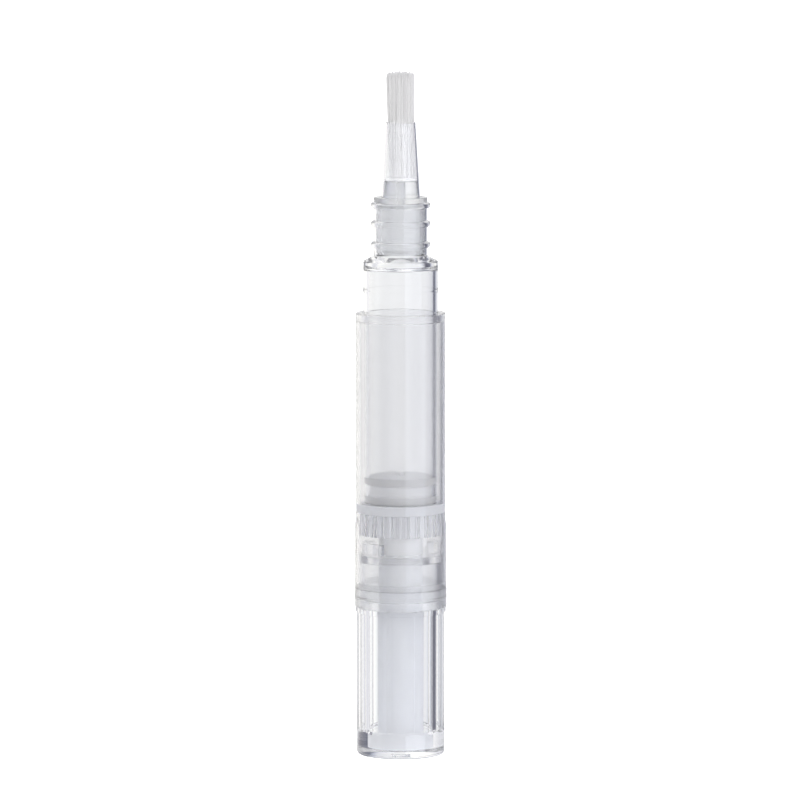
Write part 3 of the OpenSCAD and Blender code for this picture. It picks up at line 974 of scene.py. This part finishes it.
class ClickRing(Operator):
    """Model the clicker's disc and its two spring arms"""

    bl_idname = "pen.click_ring"
    bl_label = "Clicker"

    def execute(self, context):
        s = context.scene.pen_drive
        z_disc = Z_SPIGOT + s.disc_t
        z_top = high("click_ring")
        edge = 0.1 * MM
        arm_turn = math.radians(60)
        arm_low_r = s.arm_r - s.arm_t
        slit = 0.3 * MM
        z_arm = z_disc + slit
        root_gap = 0.65 * MM
        root_low_r = TUBE_R + root_gap
        root_half = 1.2 * MM
        tooth_half = 0.25 * MM
        ring = turned("clear_click_ring", [
            (TUBE_R + FIT_GAP, Z_SPIGOT),
            *wall(SPIGOT_R, Z_SPIGOT, z_disc, edge),
            (TUBE_R + FIT_GAP, z_disc),
        ])
        for side in (0, math.pi):
            combined(ring, self.arm(arm_low_r, s.arm_r, z_arm, z_top, arm_turn, side), "UNION")
            root = block("root", (root_low_r, -root_half, z_disc - edge),
                         (s.arm_r - FIT_GAP, root_half, z_top), 4 * edge, False)
            turn(root, side)
            combined(ring, root, "UNION")
            tooth = block("tooth", (arm_low_r, -tooth_half, z_arm),
                          (SPIGOT_R, tooth_half, z_top), edge, False)
            turn(tooth, side + arm_turn)
            combined(ring, tooth, "UNION")
        material = plastic("Clear clicker plastic", "clear", (0.02, 0.08), transmission=1.0)
        finished(ring, "click_ring", "knob", material)
        return {"FINISHED"}

    def arm(self, low_r, high_r, z_low, z_high, arm_turn, side):
        """One spring arm: a rectangle spun part of the way round."""
        arm = drawn("arm", [(low_r, z_low), (high_r, z_low), (high_r, z_high), (low_r, z_high)])
        pick_all()
        bpy.ops.mesh.edge_face_add()
        spin(ARM_STEPS, arm_turn)
        pick(lambda e: e.is_boundary, "EDGE")
        bpy.ops.mesh.edge_face_add()
        tidy_mesh()
        close_mesh()
        mean = sum((v.co for v in arm.data.vertices), Vector()) / len(arm.data.vertices)
        if mean.y < 0:
            turn(arm, arm_turn)
        turn(arm, side)
        return arm


class Piston(Operator):
    """Model the piston with its two lips"""

    bl_idname = "pen.piston"
    bl_label = "Piston"

    def execute(self, context):
        s = context.scene.pen_drive
        lip_r = context.scene.pen_reservoir.bore_r + BITE
        waist_r = LIP_R - s.waist_depth
        nub_r = 0.6 * MM
        nub_h = 0.5 * MM
        z_top = Z_NUB - nub_h
        z_button = Z_BUTTON - s.button_h
        piston = turned("milky_piston", [
            (0, Z_BUTTON + RUN_GAP),
            *wall(s.button_r + RUN_GAP, Z_BUTTON + RUN_GAP, z_button - RUN_GAP),
            *wall(s.button_neck_r + RUN_GAP, z_button - RUN_GAP, Z_PISTON),
            *wall(lip_r, Z_PISTON, Z_PISTON + s.lip_h, EDGE),
            *wall(waist_r, Z_PISTON + s.lip_h, z_top - s.lip_h, 2 * EDGE),
            *wall(lip_r, z_top - s.lip_h, z_top, EDGE),
            *wall(nub_r, z_top, Z_NUB, EDGE),
            (0, Z_NUB),
        ])
        material = plastic("Milky piston plastic", "piston", (0.35, 0.45), subsurface=0.15)
        finished(piston, "piston", "piston", material)
        return {"FINISHED"}


class ReservoirTube(Operator):
    """Model the clear reservoir with its sleeve, shoulder and ribbed neck"""

    bl_idname = "pen.reservoir_tube"
    bl_label = "Reservoir Tube"

    def execute(self, context):
        s = context.scene.pen_reservoir
        z_shoulder = Z_RIM + s.sleeve_h
        z_neck = z_shoulder + s.shoulder_rise
        z_roof = z_shoulder - s.roof_t
        neck_l = Z_NECK_TOP - z_neck
        z_bead = Z_RIM + s.bead_rise
        bead_half_share = 2.2
        bead_half = bead_half_share * (BEAD_R - s.sleeve_r)
        shoulder_round = 2.4 * EDGE
        roof_round = 0.7 * MM
        outline = [
            (s.bore_r, Z_NUT_TOP),
            (s.tube_r, Z_NUT_TOP, EDGE / 2),
            (s.tube_r, Z_RIM),
            *wall(s.sleeve_r, Z_RIM, z_bead - bead_half),
            (BEAD_R, z_bead, bead_half),
            (s.sleeve_r, z_bead + bead_half),
            (s.sleeve_r, z_shoulder, shoulder_round),
            (s.neck_r, z_neck, EDGE),
        ]
        rib_half = 0.5 * MM
        rib_r = s.neck_r + s.rib_out
        rib_round = 0.9 * s.rib_out
        rib_shares = (0.21, 0.6)
        for share in rib_shares:
            z = z_neck + share * neck_l
            outline += [
                (s.neck_r, z - rib_half),
                *wall(rib_r, z - rib_half, z + rib_half, rib_round),
                (s.neck_r, z + rib_half),
            ]
        top_rib_share = 0.95
        top_round = 0.7 * s.rib_out
        z = z_neck + top_rib_share * neck_l
        outline += [
            (s.neck_r, z - rib_half),
            (rib_r, z - rib_half, rib_round),
            (rib_r, Z_NECK_TOP, top_round),
            (s.neck_bore_r, Z_NECK_TOP, EDGE / 2),
            (s.neck_bore_r, z_roof, EDGE),
            (s.bore_r, z_roof, roof_round),
        ]
        tube = turned("clear_reservoir_tube", outline, steps=FINE_TURN_STEPS)
        finished(tube, "reservoir_tube", "pen_body", clear_plastic())
        return {"FINISHED"}


class BrushPlug(Operator):
    """Model the plug that holds the brush in the neck"""

    bl_idname = "pen.brush_plug"
    bl_label = "Brush Plug"

    def execute(self, context):
        s = context.scene.pen_brush
        plug_r = context.scene.pen_reservoir.neck_bore_r - 2 * BITE
        stub_low_r = FERRULE_R - s.base_wall - 2 * BITE
        stub_high_r = stub_low_r - bore_slope(s) * (Z_STUB - Z_FLANGE)
        z_roof = Z_NECK_TOP - s.plug_roof_t
        z_plug = Z_PLUG - s.plug_foot
        plug = turned("natural_brush_plug", [
            (s.plug_bore_r, z_plug),
            (plug_r - s.plug_chamfer, z_plug, EDGE),
            (plug_r, z_plug + s.plug_chamfer, EDGE),
            (plug_r, Z_NECK_TOP - EDGE),
            (plug_r - EDGE / 2, Z_NECK_TOP),
            *wall(FLANGE_R, Z_NECK_TOP, Z_FLANGE, EDGE),
            (stub_low_r, Z_FLANGE),
            (stub_high_r, Z_STUB, EDGE / 2),
            *wall(s.capillary_r, Z_STUB, z_roof, EDGE / 2),
            (s.plug_bore_r, z_roof, 2 * EDGE),
        ])
        material = plastic("Natural plug plastic", "plug", (0.16, 0.24), transmission=0.8, ior=1.45)
        finished(plug, "brush_plug", "brush_head", material)
        return {"FINISHED"}


class BrushFerrule(Operator):
    """Model the clear cone round the brush's root"""

    bl_idname = "pen.brush_ferrule"
    bl_label = "Brush Ferrule"

    def execute(self, context):
        s = context.scene.pen_brush
        ferrule = turned("clear_brush_ferrule", [
            (FERRULE_R - s.base_wall, Z_FLANGE),
            (FERRULE_R, Z_FLANGE, FINE_EDGE),
            (s.mouth_r, Z_MOUTH, FINE_EDGE),
            (s.mouth_r - s.mouth_wall, Z_MOUTH, FINE_EDGE),
        ])
        finished(ferrule, "brush_ferrule", "brush_head", clear_plastic())
        return {"FINISHED"}


class Bristles(Operator):
    """Model the brush: hundreds of filaments on a fused root"""

    bl_idname = "pen.bristles"
    bl_label = "Brush Filaments"

    def execute(self, context):
        s = context.scene.pen_brush
        strand = self.strand(s)
        half_w = s.tuft_w / 2 - s.filament_r
        half_t = s.tuft_t / 2 - s.filament_r
        row = s.step * math.sin(math.radians(60))
        jitter_share = 0.4
        seed = 7
        draw = random.Random(seed)
        strands = []
        rows = math.ceil(half_t / row)
        columns = math.ceil(half_w / s.step) + 1
        for j in range(-rows, rows + 1):
            for i in range(-columns, columns + 1):
                x = (i + (j % 2) / 2 + draw.uniform(-jitter_share, jitter_share)) * s.step
                y = (j + draw.uniform(-jitter_share, jitter_share)) * row
                if (x / half_w) ** 2 + (y / half_t) ** 2 <= 1:
                    strands.append(self.placed(s, strand, x, y, half_w, draw))
        bpy.data.objects.remove(strand)
        joined(strands)
        tuft = named("white_bristle_tuft")
        low_r = reach("bristle_tuft")
        high_r = low_r - bore_slope(s) * s.root_h
        root_round = 0.1 * MM
        root = turned("bristle_root", [
            (0, Z_ROOT),
            (low_r, Z_ROOT, root_round),
            (high_r, Z_ROOT + s.root_h, 2 * root_round),
            (0, Z_ROOT + s.root_h),
        ], steps=MEDIUM_TURN_STEPS)
        joined([tuft, root])
        material = plastic("White filament", "filament", (0.3, 0.45), subsurface=0.2, wave_scale=2500.0,
                           variation=0.12)
        finished(tuft, "bristle_tuft", "brush_head", material)
        return {"FINISHED"}

    def strand(self, s):
        """One filament of unit length: a thin tapered rod with rings to bend at."""
        sides = 5
        ring_shares = (0.35, 0.6, 0.8, 0.93)
        top_share = 0.99
        tip_share = 0.35
        deselect()
        bpy.ops.mesh.primitive_cylinder_add(
            vertices=sides, radius=s.filament_r, depth=1, end_fill_type="TRIFAN", location=(0, 0, 0)
        )
        strand = named("strand")
        open_mesh()
        pick_all()
        lift(0.5)
        for share in ring_shares:
            pick_all()
            bpy.ops.mesh.bisect(plane_co=(0, 0, share), plane_no=(0, 0, 1), threshold=MERGE)
        pick(lambda v: v.co.z > top_share)
        widen(tip_share, (0, 0, 1))
        close_mesh()
        return strand

    def placed(self, s, strand, x, y, half_w, draw):
        """A copy of the filament from the root to its own tip, a little bent."""
        edge_drop = 0.3 * MM
        edge_power = 6
        drop_draw = 0.4
        tooth_h = 0.1 * MM
        wide_tooth = 0.52 * MM
        narrow_tooth = 0.37 * MM
        left_root_share = 0.8
        right_root_share = 0.98
        deep_root_share = 1.1
        lean = 0.05
        sway = 0.03
        sway_turn = 6
        copy = copied(strand)
        z_low = Z_ROOT + s.root_h / 2
        tooth = tooth_h * (2 + math.sin(math.tau * x / wide_tooth) + math.sin(math.tau * x / narrow_tooth))
        drop = edge_drop * abs(x / half_w) ** edge_power + draw.uniform(0, drop_draw) ** 2 * MM + tooth
        z_high = Z_TIPS - drop
        root_x = (right_root_share if x > 0 else left_root_share) * x
        root_y = deep_root_share * y
        x -= s.tuft_lean
        lean_x = draw.uniform(-lean, lean) * MM
        lean_y = draw.uniform(-lean, lean) * MM
        wave = draw.uniform(0, math.tau)
        wave_w = draw.uniform(0, sway) * MM
        for v in copy.data.vertices:
            share = v.co.z
            bend = wave + sway_turn * share
            v.co.x += root_x + (x - root_x) * share + lean_x * share ** 2 + wave_w * math.sin(bend)
            v.co.y += root_y + (y - root_y) * share + lean_y * share ** 2 + wave_w * math.cos(bend)
            v.co.z = z_low + (z_high - z_low) * share
        return copy


# Studio

# A stop of light gives degrees to the right of the camera and a brightness for each channel. Ramps hold
# shares of this scale, because their colours end at 1.
LIGHT_SCALE = 3.0
# What shows through clear plastic: a white sweep, warm on the left, with a dark flag on each long side
THROUGH_LIGHT = [
    (-180, (0.91, 0.91, 0.91)), (-172, (1.0, 1.0, 0.98)), (-165, (1.15, 1.14, 1.1)),
    (-150, (1.16, 1.14, 1.1)), (-140, (0.92, 0.92, 0.94)), (-128, (0.78, 0.78, 0.82)),
    (-108, (0.84, 0.84, 0.87)), (-90, (1.0, 1.0, 1.0)), (-76, (0.55, 0.56, 0.6)), (-66, (0.2, 0.2, 0.24)),
    (-42, (0.2, 0.2, 0.25)), (-32, (0.6, 0.61, 0.66)), (-20, (0.82, 0.82, 0.84)), (0, (0.93, 0.93, 0.93)),
    (15, (1.08, 1.08, 1.08)), (40, (1.0, 1.0, 1.0)), (70, (0.9, 0.9, 0.92)), (92, (1.0, 1.0, 1.0)),
    (104, (0.66, 0.67, 0.72)), (114, (0.18, 0.18, 0.22)), (122, (0.1, 0.1, 0.14)), (146, (0.14, 0.15, 0.2)),
    (151, (0.48, 0.5, 0.6)), (157, (0.74, 0.75, 0.8)), (167, (0.87, 0.87, 0.89)), (180, (0.91, 0.91, 0.91)),
]
# What lights the milky pieces behind the clear plastic: brighter on the right
INNER_LIGHT = [
    (-180, (1.95, 1.95, 1.97)), (-90, (1.8, 1.8, 1.8)), (-12, (1.85, 1.85, 1.85)), (16, (2.22, 2.23, 2.28)),
    (90, (2.18, 2.19, 2.24)), (180, (1.95, 1.95, 1.97)),
]
# The same for what lies behind several walls, and how many surfaces the light crosses there
DEEP_SHARE = 1.25
DEEP_LIGHT = [(degrees, tuple(DEEP_SHARE * c for c in shade)) for degrees, shade in INNER_LIGHT]
WALLS_NEAR = 5
WALLS_DEEP = 8
# What a polished surface mirrors: a tall cool softbox on the right of a dim front
MIRROR_LIGHT = [
    (-180, (1.0, 1.0, 1.0)), (-120, (1.0, 0.98, 0.94)), (-90, (0.45, 0.45, 0.46)), (11, (0.4, 0.4, 0.41)),
    (15, (2.2, 2.3, 2.45)), (64, (2.2, 2.3, 2.45)), (70, (0.4, 0.4, 0.42)), (120, (0.3, 0.3, 0.33)),
    (150, (0.5, 0.52, 0.58)), (168, (0.95, 0.95, 0.97)), (180, (1.0, 1.0, 1.0)),
]
# What lights a bare matte surface
MATTE_LIGHT = [
    (-180, (1.0, 1.0, 1.0)), (-90, (0.85, 0.85, 0.85)), (0, (0.97, 0.97, 0.97)), (60, (1.15, 1.15, 1.18)),
    (110, (0.9, 0.9, 0.95)), (180, (1.0, 1.0, 1.0)),
]
# Brightness from straight down to straight up
HEIGHT_LIGHT = [(0.0, (0.8, 0.8, 0.8)), (0.4, (1, 1, 1)), (0.7, (1, 1, 1)), (1.0, (1.6, 1.6, 1.6))]
# White that the camera itself sees behind the pen
BACKDROP_STRENGTH = 1.02
# The floor's paper, its fibres, and fibres to a metre
PAPER = (0.93, 0.93, 0.93, 1)
FIBRE = (0.9, 0.9, 0.9, 1)
FIBRE_SCALE = 400


class Studio(Operator):
    """Set up the pale floor, the soft light and the camera"""

    bl_idname = "pen.studio"
    bl_label = "Studio"

    def execute(self, context):
        s = context.scene.pen_studio
        self.floor(s)
        self.light(context.scene)
        self.camera(context.scene, s)
        return {"FINISHED"}

    def floor(self, s):
        """A round floor with a thick edge."""
        floor_steps = 96
        thickness = 10 * MM
        deselect()
        bpy.ops.mesh.primitive_circle_add(
            vertices=floor_steps, radius=s.floor_r, fill_type="NGON", location=(0, 0, 0)
        )
        floor = named("studio_floor")
        open_mesh()
        pick_all()
        bpy.ops.mesh.extrude_region_move(TRANSFORM_OT_translate={"value": (0, 0, -thickness)})
        face_out()
        close_mesh()
        floor.data.materials.append(self.floor_material())
        floor.visible_transmission = False
        floor.visible_glossy = False
        floor.visible_diffuse = False

    def floor_material(self):
        """Pale paper, bright as a lit sweep."""
        material = bpy.data.materials.new("Pale floor")
        material.use_nodes = True
        tree = material.node_tree
        place = added(tree, "ShaderNodeTexCoord", {}).outputs["Object"]
        fibre = noise(tree, place, FIBRE_SCALE, detail=2)
        fed(tree, tree.nodes["Principled BSDF"], {
            "Base Color": colour_mix(tree, fibre, PAPER, FIBRE),
            "Roughness": 0.9,
            "Specular IOR Level": 0,
            "Emission Color": (1, 1, 1, 1),
            "Emission Strength": 1.0,
        })
        return material

    def light(self, scene):
        """A soft studio all round. What a ray has met on its way tells which of the lights it sees."""
        world = bpy.data.worlds.new("Pale studio")
        scene.world = world
        world.use_nodes = True
        world.cycles.sampling_method = "NONE"
        tree = world.node_tree
        tree.nodes.clear()
        place = added(tree, "ShaderNodeTexCoord", {}).outputs["Generated"]
        split = added(tree, "ShaderNodeSeparateXYZ", {"Vector": place}).outputs
        angle = computed(tree, "ARCTAN2", split["X"], computed(tree, "MULTIPLY", split["Y"], -1))
        share = remap(tree, angle, -math.pi, math.pi)
        through, inner, deep, mirrored, matte = (
            self.ring(tree, share, stops)
            for stops in (THROUGH_LIGHT, INNER_LIGHT, DEEP_LIGHT, MIRROR_LIGHT, MATTE_LIGHT)
        )
        rays = added(tree, "ShaderNodeLightPath", {}).outputs
        walls = remap(tree, rays["Transmission Depth"], WALLS_NEAR, WALLS_DEEP)
        bare = colour_mix(tree, rays["Is Glossy Ray"], matte, mirrored)
        milky = colour_mix(tree, walls, inner, deep)
        passed = colour_mix(tree, rays["Diffuse Depth"], through, milky)
        level = colour_mix(tree, rays["Is Transmission Ray"], bare, passed)
        height = self.ramp(tree, remap(tree, split["Z"], -1, 1), HEIGHT_LIGHT)
        shaded = colour_mix(tree, 1, level, height, "MULTIPLY")
        glow = added(tree, "ShaderNodeBackground", {"Color": shaded, "Strength": LIGHT_SCALE})
        white = added(tree, "ShaderNodeBackground", {"Color": (1, 1, 1, 1), "Strength": BACKDROP_STRENGTH})
        seen = added(tree, "ShaderNodeMixShader", {
            "Fac": rays["Is Camera Ray"], 1: glow.outputs[0], 2: white.outputs[0],
        })
        added(tree, "ShaderNodeOutputWorld", {"Surface": seen.outputs[0]})

    def ramp(self, tree, share, stops):
        """The socket of a colour ramp from (position, colour) stops."""
        ramp = added(tree, "ShaderNodeValToRGB", {"Fac": share})
        elements = ramp.color_ramp.elements
        elements.remove(elements[1])
        elements[0].position = stops[0][0]
        elements[0].color = (*stops[0][1], 1)
        for position, shade in stops[1:]:
            elements.new(position).color = (*shade, 1)
        return ramp.outputs["Color"]

    def ring(self, tree, share, stops):
        """The socket of a ramp round the horizon, from stops in degrees to the right of the camera."""
        return self.ramp(tree, share, [
            (0.5 + degrees / 360, tuple(c / LIGHT_SCALE for c in shade)) for degrees, shade in stops
        ])

    def camera(self, scene, s):
        """A long lens in front of the pen, a little above it."""
        data = bpy.data.cameras.new("Studio camera")
        data.sensor_width = 36
        data.lens = s.lens
        distance = s.view_w * s.lens / data.sensor_width
        back = Vector((0, -math.cos(s.elevation), math.sin(s.elevation)))
        data.clip_start = distance / 100
        data.clip_end = distance * 100
        camera = bpy.data.objects.new("Studio camera", data)
        scene.collection.objects.link(camera)
        camera.location = Vector((s.aim_x, 0, s.aim_z)) + back * distance
        camera.rotation_euler = (-back).to_track_quat("-Z", "Y").to_euler()
        scene.camera = camera
        scene.view_settings.view_transform = "Standard"
        scene.cycles.max_bounces = 32
        scene.cycles.transmission_bounces = 32
        scene.cycles.glossy_bounces = 24
        scene.cycles.diffuse_bounces = 12
        scene.cycles.transparent_max_bounces = 16


class PenPanel(Panel):
    """The pen's sizes and colours, and a button for each of its pieces"""

    bl_idname = "VIEW3D_PT_nail_oil_pen"
    bl_label = "Nail Oil Pen"
    bl_space_type = "VIEW_3D"
    bl_region_type = "UI"
    bl_category = "Nail Oil Pen"

    def draw(self, context):
        layout = self.layout
        for group in SETTINGS:
            settings = getattr(context.scene, group)
            box = layout.box()
            for name in settings.__annotations__:
                box.prop(settings, name)
        for piece in PIECES:
            layout.operator(piece.bl_idname)


SETTINGS = {
    "pen_knob": KnobSizes,
    "pen_barrel": BarrelSizes,
    "pen_drive": DriveSizes,
    "pen_reservoir": ReservoirSizes,
    "pen_brush": BrushSizes,
    "pen_colours": PenColours,
    "pen_studio": StudioSettings,
}
PIECES = (
    TwistKnob, DriveTube, ClickRing, LockCollar, OuterBarrel, FeedNut, LeadScrew, Piston,
    ReservoirTube, BrushPlug, BrushFerrule, Bristles, Studio,
)
CLASSES = (*SETTINGS.values(), *PIECES, PenPanel)


def register():
    """Registers the classes and gives the scene its settings."""
    for member in CLASSES:
        bpy.utils.register_class(member)
    for name, settings in SETTINGS.items():
        setattr(bpy.types.Scene, name, PointerProperty(type=settings))


def unregister():
    """Takes the settings and the classes away again."""
    for name in SETTINGS:
        delattr(bpy.types.Scene, name)
    for member in reversed(CLASSES):
        bpy.utils.unregister_class(member)


def main():
    """Makes every piece and the studio."""
    register()
    for piece in PIECES:
        group, name = piece.bl_idname.split(".")
        getattr(getattr(bpy.ops, group), name)()


if __name__ == "__main__":
    main()
